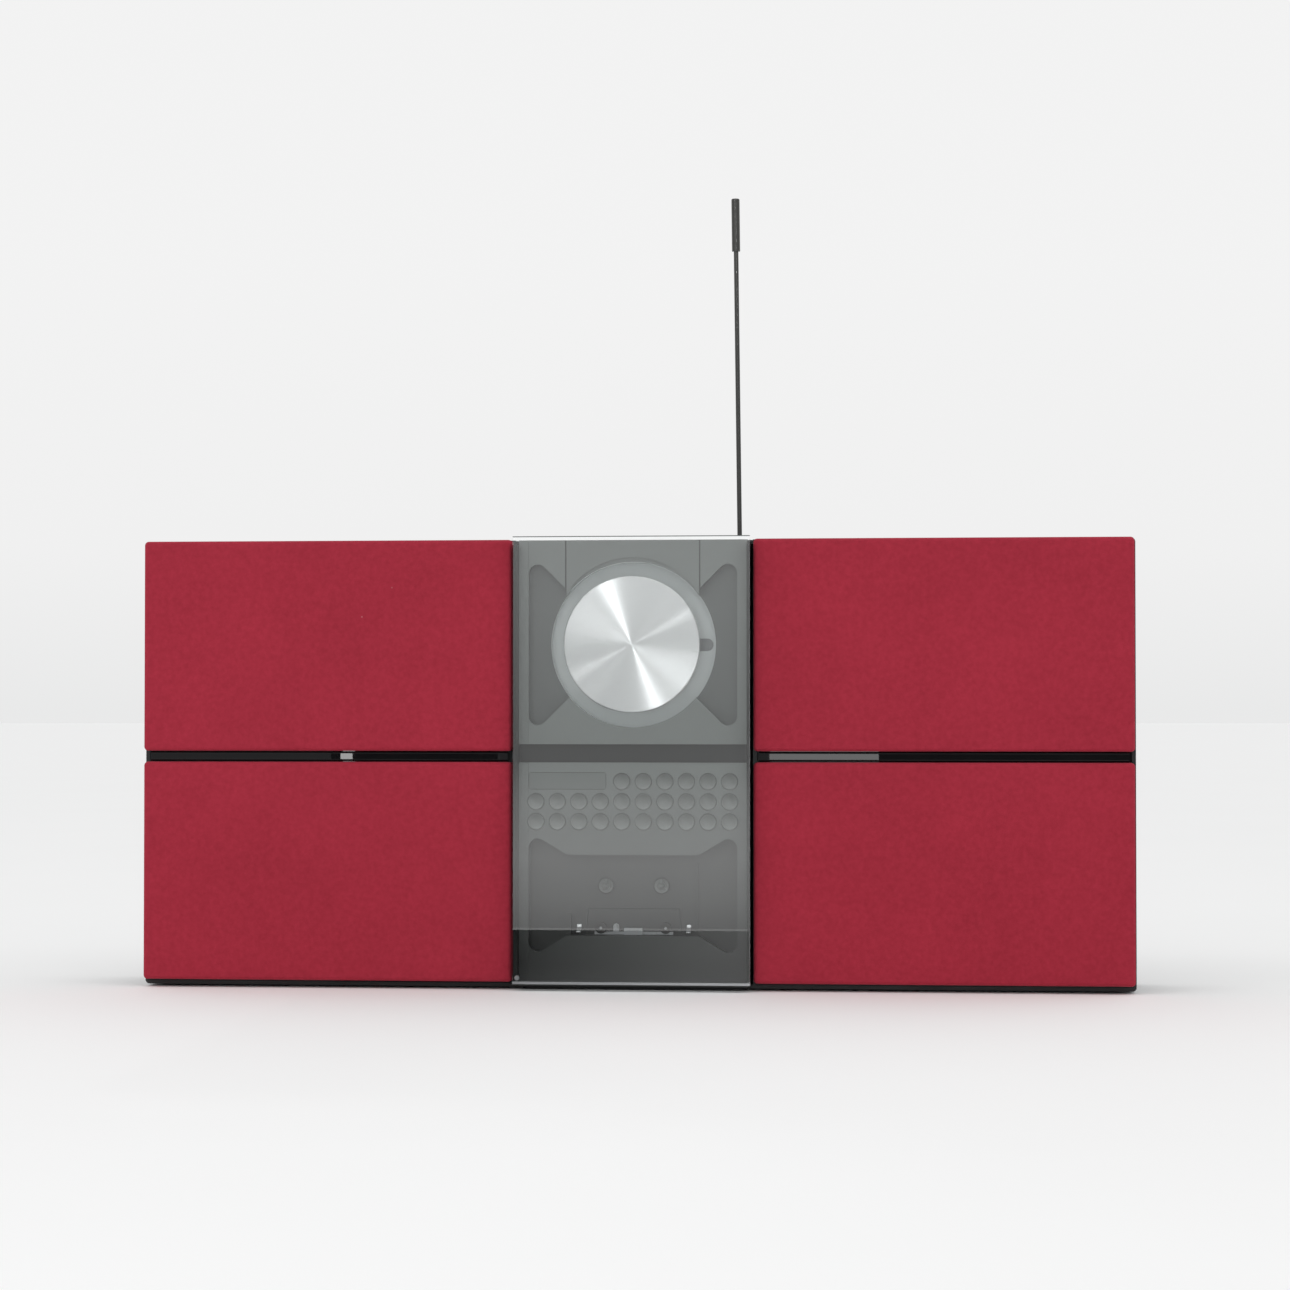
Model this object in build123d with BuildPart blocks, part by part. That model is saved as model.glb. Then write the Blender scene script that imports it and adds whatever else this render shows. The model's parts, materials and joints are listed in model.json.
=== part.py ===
from build123d import *
import os
from math import cos, radians, sin

# A slim table and wall music system: four cloth-covered speaker panels round a tall glass front,
# with a CD well, a control panel and a cassette bay behind the glass, and a rod aerial.
# Millimetres.  X runs to the right, the glass faces -Y, +Z is up.
# The origin is on the surface it stands on, at the middle of its footprint.

# ---------------------------------------------------------------- overall sizes
WIDTH = 757.0
DEPTH = 110.0
CABINET_TOP = 342.0
CABINET_BASE = 1.5
GLASS_FRONT = -DEPTH / 2
CABINET_BACK = DEPTH / 2
CABINET_FRONT = -32.0
WALL = 3.0
PLINTH_WIDTH = 172.0
PLINTH_FRONT = -28.0
PLINTH_BACK = 50.0

# ---------------------------------------------------------------- cabinet inside
PARTITION_INNER = 91.0
PARTITION_OUTER = PARTITION_INNER + WALL
CHAMBER_FLOOR = CABINET_BASE + WALL
CHAMBER_CEILING = CABINET_TOP - WALL
BAFFLE_THICK = 4.0
CABINET_CORNER_R = 3.2
CABINET_BACK_R = 3.0
BAFFLE_BACK = CABINET_FRONT + BAFFLE_THICK
BAFFLE_INNER = PARTITION_OUTER + 0.3
BAFFLE_OUTER = WIDTH / 2 - WALL - 0.3
LEDGE = 13.0
LEDGE_DEEP = 20.0
BRACKET_X = 300.0
BRACKET_Z = 200.0
BRACKET_MID_Z = 170.0
BRACKET_HOLE_R = 2.6

# ---------------------------------------------------------------- speaker covers
COVER_WIDTH = 285.5
COVER_MID_X = 91.85 + COVER_WIDTH / 2
LOWER_BOTTOM = 6.0
LOWER_TOP = 172.8
UPPER_BOTTOM = 181.2
UPPER_TOP = CABINET_TOP
CLOTH_FRONT = -45.0
COVER_BACK = -33.0
CLOTH_THICK = 1.2
CLOTH_EDGE_R = 3.0
FRAME_BAR = 10.0
FRAME_RIB = 5.0
PEG_R = 2.0
PEG_LENGTH = 5.6
PEG_INSET = 14.0
PEG_MIDDLE = 50.0
RUNNING_GAP = 0.1

# ---------------------------------------------------------------- loudspeakers
DRIVER_X = 302.0
BASS_Z = 88.0
TREBLE_Z = 262.0
BASS_OPENING = (98.0, 121.0)
TREBLE_OPENING = 56.0

# ---------------------------------------------------------------- glass front
GLASS_WIDTH = 180.0
GLASS_THICK = 4.0
GLASS_BOTTOM = 7.3
GLASS_TOP = 344.0
GLASS_BACK = GLASS_FRONT + GLASS_THICK
SILL_BOTTOM = 5.3
SILL_BACK = -48.4
RUNNER_INNER = 87.3
RUNNER_OUTER = 89.7
RUNNER_BACK = -24.0
RUNNER_TOP = 338.0
HOOK_INNER = 83.0
HOOK_THICK = 2.5
NOTCH_GAP = 0.8

# ---------------------------------------------------------------- console behind the glass
CONSOLE_HALF = 86.9
CONSOLE_BOTTOM = 3.0
CONSOLE_TOP = 343.5
MARGIN_FRONT = -41.0
MARGIN_INNER = 79.8
COLUMN_INNER = 81.4
FACE_FRONT = -40.4
FACE_THICK = 3.0
FACE_BACK = FACE_FRONT + FACE_THICK
SKIN = 2.0
BAND_BOTTOM = 172.4
BAND_TOP = 186.4
BAND_FLOOR = -35.0

# ---------------------------------------------------------------- CD well
CD_Z = 262.0
WELL_R = 62.7
WELL_FLOOR = -29.0
FINGER_FLOOR = -33.0
LOBE_X = 79.5
LOBE_TIP_R = 7.0
CD_LOBE_HALF = 71.0
CD_LOBE_INNER = 8.0
COVER_PLATE_HALF = 51.5
COVER_PLATE_THICK = 1.5
COVER_ARC_R = 60.5
COVER_ARC_RISE = 5.7
COVER_ARC_HALF = 46.9
CLAMP_R = 51.75
CLAMP_FRONT = -48.0
PLATTER_FRONT = -33.0
PICKUP_X = 26.0
PICKUP_TRAVEL = 30.0

# ---------------------------------------------------------------- cassette bay
BAY_TOP = 102.5
BAY_BOTTOM = 41.2
BAY_FLAT_HALF = 50.2
BAY_LOBE_RISE = 17.65
BAY_FLOOR = -29.0
SPINDLE_X = 21.25
SPINDLE_Z = 78.7
SPINDLE_FLANGE_R = 6.25
SHAFT_R = 2.0
HEAD_TOP_HALF = 34.9
HEAD_BOTTOM_HALF = 36.9
HEAD_TOP = 61.5
HEAD_BOTTOM = 42.2
ROLLER_X = 24.7
ROLLER_Z = 46.8
ROLLER_R = 4.3
ROLLER_PIN_R = 1.0
TAPE_GUIDE_X = -13.5
TAPE_GUIDE_Z = 47.8
BAR_BOTTOM = 41.6

# ---------------------------------------------------------------- control panel
KEY_R = 6.2
KEY_GAP = 0.3
KEY_PITCH_X = 16.4
KEY_COLUMNS = 10
KEY_ROWS = {"top": 158.2, "mid": 142.9, "low": 127.7}
KEY_TOP_FIRST = 5
KEY_FRONT = -41.6
KEY_DISH_R = 22.0
KEY_DISH_DEEP = 0.7
WINDOW_LEFT = -79.6
WINDOW_RIGHT = -20.1
WINDOW_BOTTOM = 151.9
WINDOW_TOP = 165.2
BOARD_FRONT = -32.5
BOARD_HALF = 80.6
BOARD_BOTTOM = 119.5
BOARD_TOP = 169.0

# ---------------------------------------------------------------- aerial
AERIAL_X = 76.9
AERIAL_Y = 30.0
AERIAL_LEAN = 0.69
AERIAL_R = 1.83
AERIAL_REACH = 269.6
AERIAL_TAIL = 30.0
TIP_R = 3.2
TIP_LENGTH = 41.1

os.makedirs("parts", exist_ok=True)


def facing(y):
    """The upright plane at depth y, seen from the front: local x is X, local y is Z."""
    return Plane.XZ.offset(-y)


def save(piece, name):
    """Label a finished piece and write its STEP file."""
    piece.part.label = name
    export_step(piece.part, f"parts/{name}.step")


def block(left, right, bottom, top):
    """Add to the open sketch the rectangle between these edges."""
    with Locations(((left + right) / 2, (bottom + top) / 2)):
        Rectangle(right - left, top - bottom)


def lobe_outline(grow=0.0):
    """Add to the open sketch one finger recess at each side of the CD well."""
    for side in (-1, 1):
        with BuildSketch(mode=Mode.PRIVATE) as lobe:
            Polygon(
                (side * LOBE_X, CD_Z + CD_LOBE_HALF),
                (side * LOBE_X, CD_Z - CD_LOBE_HALF),
                (side * CD_LOBE_INNER, CD_Z),
                align=None,
            )
            fillet(lobe.vertices().group_by(Axis.X)[0 if side < 0 else -1], LOBE_TIP_R)
            if grow:
                offset(amount=grow)
        add(lobe.sketch)


def bay_outline(grow=0.0):
    """Add to the open sketch the cassette bay: flat in the middle, with a finger lobe each side."""
    high = BAY_TOP + BAY_LOBE_RISE
    low = BAY_BOTTOM - BAY_LOBE_RISE
    with BuildSketch(mode=Mode.PRIVATE) as bay:
        Polygon(
            (-LOBE_X, high),
            (-BAY_FLAT_HALF, BAY_TOP),
            (BAY_FLAT_HALF, BAY_TOP),
            (LOBE_X, high),
            (LOBE_X, low),
            (BAY_FLAT_HALF, BAY_BOTTOM),
            (-BAY_FLAT_HALF, BAY_BOTTOM),
            (-LOBE_X, low),
            align=None,
        )
        left_tips = bay.vertices().group_by(Axis.X)[0]
        fillet(left_tips, LOBE_TIP_R)
        right_tips = bay.vertices().group_by(Axis.X)[-1]
        fillet(right_tips, LOBE_TIP_R)
        if grow:
            offset(amount=grow)
    add(bay.sketch)


def aerial_plane(along):
    """The plane across the leaning aerial, this far up it from the cabinet's top."""
    lean = radians(AERIAL_LEAN)
    origin = (AERIAL_X - along * sin(lean), AERIAL_Y, CABINET_TOP + along * cos(lean))
    return Plane(origin=origin, x_dir=(cos(lean), 0, sin(lean)), z_dir=(-sin(lean), 0, cos(lean)))


# ================================================================ cabinet
with BuildPart() as rear_shell:
    with BuildSketch(facing(CABINET_BACK)):
        block(-WIDTH / 2, WIDTH / 2, CABINET_BASE, CABINET_TOP)
    extrude(amount=CABINET_BACK - CABINET_FRONT)
    fillet(rear_shell.edges().filter_by(Axis.Y), CABINET_CORNER_R)
    fillet(rear_shell.faces().sort_by(Axis.Y)[-1].edges(), CABINET_BACK_R)
    # three compartments: two speaker chambers and the middle one
    with BuildSketch(facing(CABINET_BACK - WALL)):
        block(-WIDTH / 2 + WALL, -PARTITION_OUTER, CHAMBER_FLOOR, CHAMBER_CEILING)
        block(-PARTITION_INNER, PARTITION_INNER, CHAMBER_FLOOR, CHAMBER_CEILING)
        block(PARTITION_OUTER, WIDTH / 2 - WALL, CHAMBER_FLOOR, CHAMBER_CEILING)
    extrude(amount=CABINET_BACK - WALL - CABINET_FRONT, mode=Mode.SUBTRACT)
    # the plinth it stands on
    with BuildSketch(Plane.XY):
        with Locations((0, (PLINTH_FRONT + PLINTH_BACK) / 2)):
            RectangleRounded(PLINTH_WIDTH, PLINTH_BACK - PLINTH_FRONT, 6.0)
    extrude(amount=CABINET_BASE + WALL / 2)
    # screw ledges behind the corners of each baffle
    with BuildSketch(facing(BAFFLE_BACK + LEDGE_DEEP)):
        for side in (-1, 1):
            for edge in (PARTITION_OUTER + LEDGE / 2, WIDTH / 2 - WALL - LEDGE / 2):
                for z in (CHAMBER_FLOOR + LEDGE / 2, CHAMBER_CEILING - LEDGE / 2):
                    with Locations((side * edge, z)):
                        Rectangle(LEDGE, LEDGE)
    extrude(amount=LEDGE_DEEP)
    # four shelves that the console's pads snap to
    with BuildSketch(facing(CABINET_FRONT + LEDGE_DEEP)):
        for side in (-1, 1):
            for z in (CHAMBER_FLOOR + LEDGE / 2, CHAMBER_CEILING - LEDGE / 2):
                with Locations((side * 66, z)):
                    Rectangle(LEDGE, LEDGE)
    extrude(amount=LEDGE_DEEP)
    # screw pilot holes in the ledges
    with BuildSketch(facing(BAFFLE_BACK + 12)):
        for side in (-1, 1):
            for edge in (PARTITION_OUTER + LEDGE / 2, WIDTH / 2 - WALL - LEDGE / 2):
                for z in (CHAMBER_FLOOR + LEDGE / 2, CHAMBER_CEILING - LEDGE / 2):
                    with Locations((side * edge, z)):
                        Circle(1.5)
    extrude(amount=12, mode=Mode.SUBTRACT)
    # wall-bracket bosses and their through holes
    with BuildSketch(facing(CABINET_BACK - WALL)):
        with Locations((0, BRACKET_MID_Z)):
            with GridLocations(BRACKET_X, BRACKET_Z, 2, 2):
                Circle(7.0)
    extrude(amount=6.0)
    with BuildSketch(facing(CABINET_BACK)):
        with Locations((0, BRACKET_MID_Z)):
            with GridLocations(BRACKET_X, BRACKET_Z, 2, 2):
                Circle(BRACKET_HOLE_R)
    extrude(amount=WALL + 6.0, mode=Mode.SUBTRACT)
    # opening for the mains inlet, and cooling slots over the transformer
    with BuildSketch(facing(CABINET_BACK)):
        with Locations((50, 26)):
            Rectangle(24.4, 16.4)
        with Locations((-40, 90)):
            with GridLocations(8, 0, 9, 1):
                SlotOverall(44, 3.2, rotation=90)
    extrude(amount=WALL, mode=Mode.SUBTRACT)
    # clearance in the cabinet's top for the glass runners
    notch_inner = HOOK_INNER - NOTCH_GAP
    notch_back = RUNNER_BACK + NOTCH_GAP
    with BuildSketch(Plane.XY.offset(CHAMBER_CEILING)):
        for side in (-1, 1):
            with Locations((side * (notch_inner + PARTITION_INNER) / 2, (CABINET_FRONT + notch_back) / 2)):
                Rectangle(PARTITION_INNER - notch_inner, notch_back - CABINET_FRONT)
    extrude(amount=WALL, mode=Mode.SUBTRACT)
    # aerial tube under the top wall, with its running bore
    with BuildSketch(aerial_plane(-40)):
        Circle(5.0)
    extrude(amount=38.5)
    with BuildSketch(aerial_plane(-42)):
        Circle(AERIAL_R + RUNNING_GAP)
    extrude(amount=44, mode=Mode.SUBTRACT)
save(rear_shell, "rear_shell")


def peg_places(mid_x, bottom, top):
    """The centres of one cover's pegs: four near its corners, and two more beside the rail."""
    across = COVER_WIDTH / 2 - PEG_INSET - 12
    rows = (bottom + PEG_INSET, top - PEG_INSET)
    beside_rail = rows[1] if top < UPPER_BOTTOM else rows[0]
    corners = [(mid_x + x, z) for x in (-across, across) for z in rows]
    return corners + [(mid_x + x, beside_rail) for x in (-PEG_MIDDLE, PEG_MIDDLE)]


def make_baffle(side):
    """One speaker baffle with its driver openings, sound slots and glossy middle rail."""
    left, right = sorted((side * BAFFLE_INNER, side * BAFFLE_OUTER))
    with BuildPart() as baffle:
        with BuildSketch(facing(BAFFLE_BACK)):
            block(left, right, CHAMBER_FLOOR + 0.3, CHAMBER_CEILING - 0.3)
        extrude(amount=BAFFLE_THICK)
        # bass opening with a cross of protective bars, and the round treble opening
        with BuildSketch(facing(BAFFLE_BACK)):
            with Locations((side * DRIVER_X, BASS_Z)):
                RectangleRounded(*BASS_OPENING, 8.0)
                Rectangle(BASS_OPENING[0] + 2, 4, mode=Mode.SUBTRACT)
                Rectangle(4, BASS_OPENING[1] + 2, mode=Mode.SUBTRACT)
            with Locations((side * DRIVER_X, TREBLE_Z)):
                Circle(TREBLE_OPENING / 2)
        extrude(amount=BAFFLE_THICK, mode=Mode.SUBTRACT)
        # rows of sound slots: high on the left, low on the right
        row_z = 314.0 if side < 0 else 51.0
        with BuildSketch(facing(BAFFLE_BACK)):
            with Locations((side * 170, row_z)):
                with GridLocations(0, 9, 1, 4):
                    SlotOverall(72, 4.4)
        extrude(amount=BAFFLE_THICK, mode=Mode.SUBTRACT)
        # glossy rail seen in the gap between the covers
        rail_middle = (LOWER_TOP + UPPER_BOTTOM) / 2
        with BuildSketch(facing(CABINET_FRONT)):
            with Locations((side * COVER_MID_X, rail_middle)):
                Rectangle(COVER_WIDTH - 8, UPPER_BOTTOM - LOWER_TOP - 0.8)
        extrude(amount=6.0)
        rail_front = baffle.faces().sort_by(Axis.Y)[0]
        fillet(rail_front.edges().filter_by(Axis.X), 1.6)
        # sockets for the cover pegs
        with BuildSketch(facing(BAFFLE_BACK)):
            for low, high in ((LOWER_BOTTOM, LOWER_TOP), (UPPER_BOTTOM, UPPER_TOP)):
                with Locations(*peg_places(side * COVER_MID_X, low, high)):
                    Circle(PEG_R + RUNNING_GAP)
        extrude(amount=BAFFLE_THICK, mode=Mode.SUBTRACT)
        # countersunk screw holes at the corners
        screw_mid_x = (PARTITION_OUTER + WIDTH / 2 - WALL) / 2
        screw_gap_x = WIDTH / 2 - WALL - PARTITION_OUTER - LEDGE
        screw_mid_z = (CHAMBER_FLOOR + CHAMBER_CEILING) / 2
        screw_gap_z = CHAMBER_CEILING - CHAMBER_FLOOR - LEDGE
        with Locations(facing(CABINET_FRONT)):
            with Locations((side * screw_mid_x, screw_mid_z)):
                with GridLocations(screw_gap_x, screw_gap_z, 2, 2):
                    CounterSinkHole(radius=1.8, counter_sink_radius=3.6)
    return baffle


for side, name in ((-1, "left_baffle"), (1, "right_baffle")):
    save(make_baffle(side), name)

with BuildPart() as screws:
    for side in (-1, 1):
        for x in (PARTITION_OUTER + LEDGE / 2, WIDTH / 2 - WALL - LEDGE / 2):
            for z in (CHAMBER_FLOOR + LEDGE / 2, CHAMBER_CEILING - LEDGE / 2):
                with BuildSketch(facing(BAFFLE_BACK + 10)):
                    with Locations((side * x, z)):
                        Circle(1.4)
                extrude(amount=BAFFLE_THICK + 10 - 0.2)
                with BuildSketch(facing(CABINET_FRONT + 1.7)):
                    with Locations((side * x, z)):
                        Circle(1.6)
                with BuildSketch(facing(CABINET_FRONT + 0.2)):
                    with Locations((side * x, z)):
                        Circle(3.1)
                loft()
save(screws, "screws")


# ================================================================ speaker covers
def make_frame(mid_x, bottom, top):
    """The rigid lattice inside one speaker cover, with the pegs that hold it on."""
    width = COVER_WIDTH - 2 * CLOTH_THICK
    height = top - bottom - 2 * CLOTH_THICK
    with BuildPart() as frame:
        with BuildSketch(facing(COVER_BACK)):
            with Locations((mid_x, (bottom + top) / 2)):
                Rectangle(width, height)
                Rectangle(width - 2 * FRAME_BAR, height - 2 * FRAME_BAR, mode=Mode.SUBTRACT)
                with GridLocations((width - FRAME_BAR) / 4, 0, 3, 1):
                    Rectangle(FRAME_RIB, height - FRAME_BAR)
                Rectangle(width - FRAME_BAR, FRAME_RIB)
        extrude(amount=COVER_BACK - CLOTH_FRONT - CLOTH_THICK)
        outer_edges = frame.faces().sort_by(Axis.Y)[0].outer_wire().edges()
        fillet(outer_edges, CLOTH_EDGE_R - CLOTH_THICK)
        with BuildSketch(facing(COVER_BACK + PEG_LENGTH)):
            with Locations(*peg_places(mid_x, bottom, top)):
                Circle(PEG_R)
        extrude(amount=PEG_LENGTH)
        # pads that carry the pegs
        with BuildSketch(facing(COVER_BACK)):
            with Locations(*peg_places(mid_x, bottom, top)):
                Rectangle(10, 14)
        extrude(amount=3.0)
    return frame


def make_cloth(mid_x, bottom, top):
    """The cloth of one speaker cover, stretched over the front and round the edges of its frame."""
    with BuildPart() as cloth:
        with BuildSketch(facing(COVER_BACK)):
            with Locations((mid_x, (bottom + top) / 2)):
                Rectangle(COVER_WIDTH, top - bottom)
        extrude(amount=COVER_BACK - CLOTH_FRONT)
        fillet(cloth.faces().sort_by(Axis.Y)[0].edges(), CLOTH_EDGE_R)
        with BuildSketch(facing(COVER_BACK)):
            with Locations((mid_x, (bottom + top) / 2)):
                Rectangle(COVER_WIDTH - 2 * CLOTH_THICK, top - bottom - 2 * CLOTH_THICK)
        hollow = extrude(amount=COVER_BACK - CLOTH_FRONT - CLOTH_THICK, mode=Mode.PRIVATE)
        hollow_front = hollow.faces().sort_by(Axis.Y)[0].edges()
        add(hollow.fillet(CLOTH_EDGE_R - CLOTH_THICK, hollow_front), mode=Mode.SUBTRACT)
    return cloth


for level, low, high in (("upper", UPPER_BOTTOM, UPPER_TOP), ("lower", LOWER_BOTTOM, LOWER_TOP)):
    for hand, side in (("left", -1), ("right", 1)):
        save(make_frame(side * COVER_MID_X, low, high), f"{level}_{hand}_cover_frame")
        save(make_cloth(side * COVER_MID_X, low, high), f"{level}_{hand}_cover_cloth")

# ================================================================ loudspeakers
with BuildPart() as speaker_drivers:
    for side in (-1, 1):
        # bass driver: mounting plate, then the basket, cone and magnet turned about its axis
        with BuildSketch(facing(BAFFLE_BACK + 2.4)):
            with Locations((side * DRIVER_X, BASS_Z)):
                RectangleRounded(BASS_OPENING[0] + 10, BASS_OPENING[1] + 10, 10.0)
                Circle(44.0, mode=Mode.SUBTRACT)
        extrude(amount=2.4)
        for z, rim, deep, magnet in ((BASS_Z, 46.0, 58.0, 32.0), (TREBLE_Z, 34.0, 28.0, 18.0)):
            middle = Plane(
                origin=(side * DRIVER_X, BAFFLE_BACK, z), x_dir=(1, 0, 0), z_dir=(0, 0, 1)
            )
            with BuildSketch(middle):
                with BuildLine():
                    Polyline(
                        (0, deep * 0.34),
                        (rim * 0.24, deep * 0.34),
                        (rim - 4, 1.2),
                        (rim - 4, 0),
                        (rim, 0),
                        (rim, 3),
                        (magnet * 0.8, deep * 0.62),
                        (magnet, deep * 0.62),
                        (magnet, deep),
                        (0, deep),
                        close=True,
                    )
                make_face()
            revolve(axis=Axis((side * DRIVER_X, BAFFLE_BACK, z), (0, 1, 0)))
save(speaker_drivers, "speaker_drivers")

# ================================================================ glass front
with BuildPart() as glass_panel:
    with BuildSketch(facing(GLASS_BACK)):
        block(-GLASS_WIDTH / 2, GLASS_WIDTH / 2, GLASS_BOTTOM, GLASS_TOP)
    extrude(amount=GLASS_THICK)
    front_face = glass_panel.faces().sort_by(Axis.Y)[0]
    chamfer(front_face.edges().filter_by(Axis.Z), 0.5)
    front_face = glass_panel.faces().sort_by(Axis.Y)[0]
    top_edge = front_face.edges().sort_by(Axis.Z)[-1]
    chamfer(top_edge, 3.2, 1.0, reference=front_face)
save(glass_panel, "glass_panel")

with BuildPart() as glass_carrier:
    # aluminium sill under the glass, shallow enough to pass in front of the CD clamp
    with BuildSketch(Plane.XY.offset(SILL_BOTTOM)):
        with Locations((0, (GLASS_FRONT + SILL_BACK) / 2)):
            Rectangle(GLASS_WIDTH, SILL_BACK - GLASS_FRONT)
    extrude(amount=GLASS_BOTTOM - SILL_BOTTOM)
    for side in (-1, 1):
        # a thin runner down each side of the glass, hooked behind the console
        with BuildSketch(Plane.XY.offset(GLASS_BOTTOM)):
            with Locations((side * (RUNNER_INNER + RUNNER_OUTER) / 2, (GLASS_BACK + RUNNER_BACK) / 2)):
                Rectangle(RUNNER_OUTER - RUNNER_INNER, RUNNER_BACK - GLASS_BACK)
            with Locations((side * (HOOK_INNER + RUNNER_OUTER) / 2, RUNNER_BACK - HOOK_THICK / 2)):
                Rectangle(RUNNER_OUTER - HOOK_INNER, HOOK_THICK)
        extrude(amount=RUNNER_TOP - GLASS_BOTTOM)
save(glass_carrier, "glass_carrier")


# ================================================================ console
def key_places():
    """Name, X and Z of every key: the top row has keys only in its right-hand columns."""
    for row, z in KEY_ROWS.items():
        first = KEY_TOP_FIRST if row == "top" else 1
        for column in range(first, KEY_COLUMNS + 1):
            x = (column - (KEY_COLUMNS + 1) / 2) * KEY_PITCH_X
            yield f"key_{row}_{column}", x, z


with BuildPart() as console_plate:
    # face plate, side margins, and pads at the back that reach the cabinet's shelves
    with BuildSketch(facing(FACE_BACK)):
        block(-CONSOLE_HALF, CONSOLE_HALF, CONSOLE_BOTTOM, CONSOLE_TOP)
    extrude(amount=FACE_THICK)
    with BuildSketch(facing(FACE_BACK)):
        block(-CONSOLE_HALF, -MARGIN_INNER, CONSOLE_BOTTOM, CONSOLE_TOP)
        block(MARGIN_INNER, CONSOLE_HALF, CONSOLE_BOTTOM, CONSOLE_TOP)
    extrude(amount=FACE_BACK - MARGIN_FRONT)
    with BuildSketch(facing(CABINET_FRONT)):
        block(-CONSOLE_HALF, -COLUMN_INNER, CONSOLE_BOTTOM, CONSOLE_TOP)
        block(COLUMN_INNER, CONSOLE_HALF, CONSOLE_BOTTOM, CONSOLE_TOP)
    extrude(amount=CABINET_FRONT - FACE_BACK)
    with BuildSketch(facing(CABINET_FRONT)):
        for side in (-1, 1):
            for z in (CHAMBER_FLOOR + LEDGE / 2, CHAMBER_CEILING - LEDGE / 2):
                with Locations((side * 66, z)):
                    Rectangle(LEDGE - 2, LEDGE - 2)
    extrude(amount=CABINET_FRONT - FACE_BACK)
    # backs of the CD well, finger recesses, cassette bay and middle band
    with BuildSketch(facing(WELL_FLOOR + SKIN)):
        with Locations((0, CD_Z)):
            Circle(WELL_R + SKIN)
        bay_outline(grow=SKIN)
    extrude(amount=WELL_FLOOR + SKIN - FACE_BACK)
    with BuildSketch(facing(FINGER_FLOOR + SKIN)):
        lobe_outline(grow=SKIN)
    extrude(amount=FINGER_FLOOR + SKIN - FACE_BACK)
    with BuildSketch(facing(BAND_FLOOR + SKIN)):
        block(-CONSOLE_HALF, CONSOLE_HALF, BAND_BOTTOM - SKIN, BAND_TOP + SKIN)
    extrude(amount=BAND_FLOOR + SKIN - FACE_BACK)
    # the hollows themselves
    with BuildSketch(facing(WELL_FLOOR)):
        with Locations((0, CD_Z)):
            Circle(WELL_R)
        bay_outline()
    extrude(amount=WELL_FLOOR - MARGIN_FRONT, mode=Mode.SUBTRACT)
    with BuildSketch(facing(FINGER_FLOOR)):
        lobe_outline()
    extrude(amount=FINGER_FLOOR - MARGIN_FRONT, mode=Mode.SUBTRACT)
    with BuildSketch(facing(BAND_FLOOR)):
        block(-CONSOLE_HALF, CONSOLE_HALF, BAND_BOTTOM, BAND_TOP)
    extrude(amount=BAND_FLOOR - MARGIN_FRONT, mode=Mode.SUBTRACT)
    # seat for the separate plate above the CD well
    with BuildSketch(facing(FACE_FRONT + COVER_PLATE_THICK + 0.1)):
        block(-COVER_PLATE_HALF, COVER_PLATE_HALF, CD_Z, CONSOLE_TOP)
    extrude(amount=COVER_PLATE_THICK + 0.1, mode=Mode.SUBTRACT)
    # holes in the floors: CD spindle and lens slot, tape spindles, head plate
    with BuildSketch(facing(WELL_FLOOR + SKIN)):
        with Locations((0, CD_Z)):
            Circle(5.0)
        with Locations((PICKUP_X + PICKUP_TRAVEL / 2, CD_Z)):
            SlotOverall(PICKUP_TRAVEL + 9.6, 9.6)
        with Locations((-SPINDLE_X, SPINDLE_Z), (SPINDLE_X, SPINDLE_Z)):
            Circle(SHAFT_R + 1.0)
        Polygon(
            (-HEAD_TOP_HALF, HEAD_TOP),
            (HEAD_TOP_HALF, HEAD_TOP),
            (HEAD_BOTTOM_HALF, HEAD_BOTTOM),
            (-HEAD_BOTTOM_HALF, HEAD_BOTTOM),
            align=None,
        )
    extrude(amount=SKIN, mode=Mode.SUBTRACT)
    # holes in the face: the keys and the display window
    with BuildSketch(facing(FACE_BACK)):
        for name, x, z in key_places():
            with Locations((x, z)):
                Circle(KEY_R + KEY_GAP)
        with Locations(((WINDOW_LEFT + WINDOW_RIGHT) / 2, (WINDOW_BOTTOM + WINDOW_TOP) / 2)):
            RectangleRounded(WINDOW_RIGHT - WINDOW_LEFT, WINDOW_TOP - WINDOW_BOTTOM, 2.0)
    extrude(amount=FACE_BACK - MARGIN_FRONT, mode=Mode.SUBTRACT)
    # cassette guides: a short block on the left, a low step on the right
    with BuildSketch(facing(BAY_FLOOR)):
        block(-51.7, -47.9, BAY_BOTTOM, 57.1)
    extrude(amount=4.0)
    with BuildSketch(facing(BAY_FLOOR)):
        block(47.2, 49.0, BAY_BOTTOM, 96.0)
    extrude(amount=1.2)
save(console_plate, "console_plate")

with BuildPart() as cd_cover_plate:
    with BuildSketch(facing(FACE_FRONT + COVER_PLATE_THICK)):
        block(-COVER_PLATE_HALF + 0.4, COVER_PLATE_HALF - 0.4, CD_Z, CONSOLE_TOP)
        with Locations((0, CD_Z)):
            Circle(WELL_R, mode=Mode.SUBTRACT)
        with BuildSketch(mode=Mode.PRIVATE) as raised_arc:
            with Locations((0, CD_Z + COVER_ARC_RISE)):
                Circle(COVER_ARC_R)
                Rectangle(2 * COVER_ARC_HALF, 2 * COVER_ARC_R, mode=Mode.INTERSECT)
        add(raised_arc.sketch, mode=Mode.SUBTRACT)
    extrude(amount=COVER_PLATE_THICK)
save(cd_cover_plate, "cd_cover_plate")

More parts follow.
